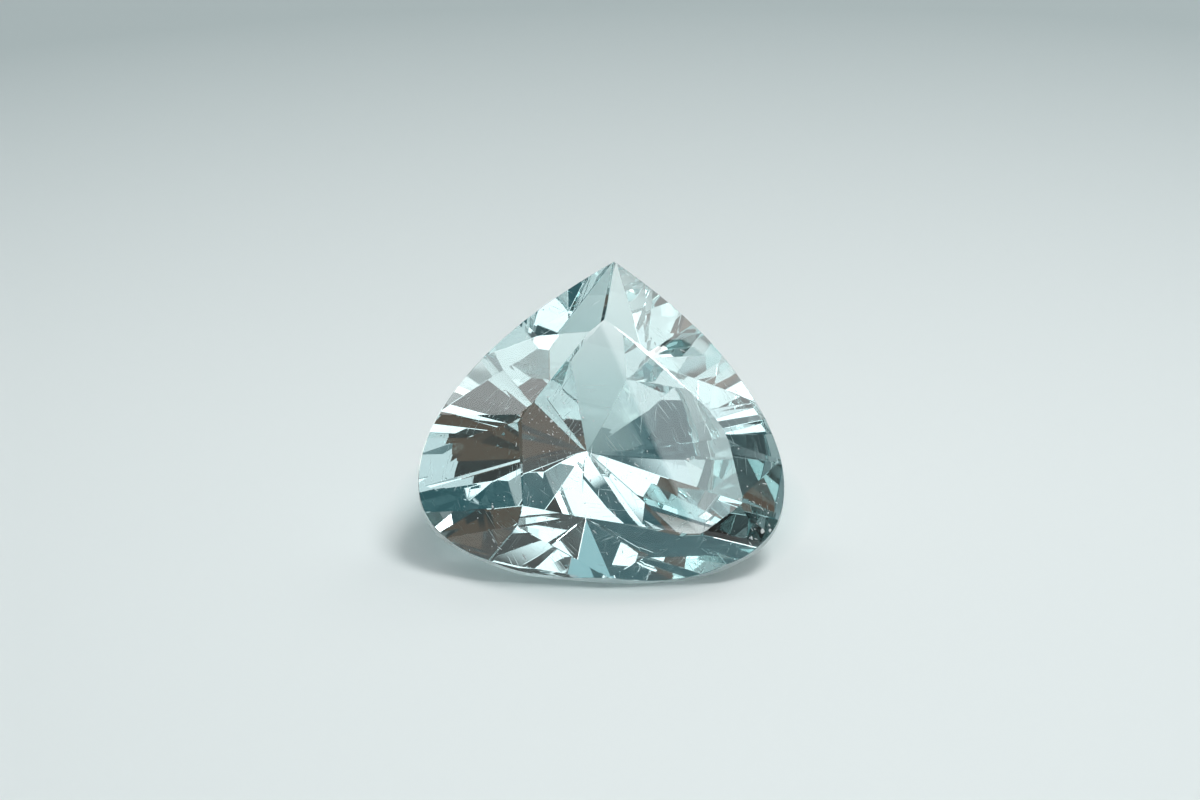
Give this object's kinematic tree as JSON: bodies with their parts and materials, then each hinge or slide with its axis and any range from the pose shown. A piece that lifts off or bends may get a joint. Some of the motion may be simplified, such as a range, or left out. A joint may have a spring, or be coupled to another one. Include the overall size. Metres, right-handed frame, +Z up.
{
  "type": "pear-cut topaz gemstone",
  "caption": "Cut and polished pear-shaped gemstone of pale blue see-through topaz, with a flat table, a faceted crown, a frosted girdle and a deep pointed pavilion.",
  "frame": {"origin": "on the ground, below the middle of the stone as it lies", "axes": "+Z up, +X to the right across the stone's widest line, +Y from the table's side towards the pavilion side and the pointed tip"},
  "size_m": [0.014, 0.0104, 0.0092],
  "materials": {
    "topaz": "polished, clear, pale blue with a faint green-grey cast; fine scratches on the facets, frosted girdle"
  },
  "bodies": {
    "root": {"topaz_stone": "topaz"}
  },
  "joints": []
}
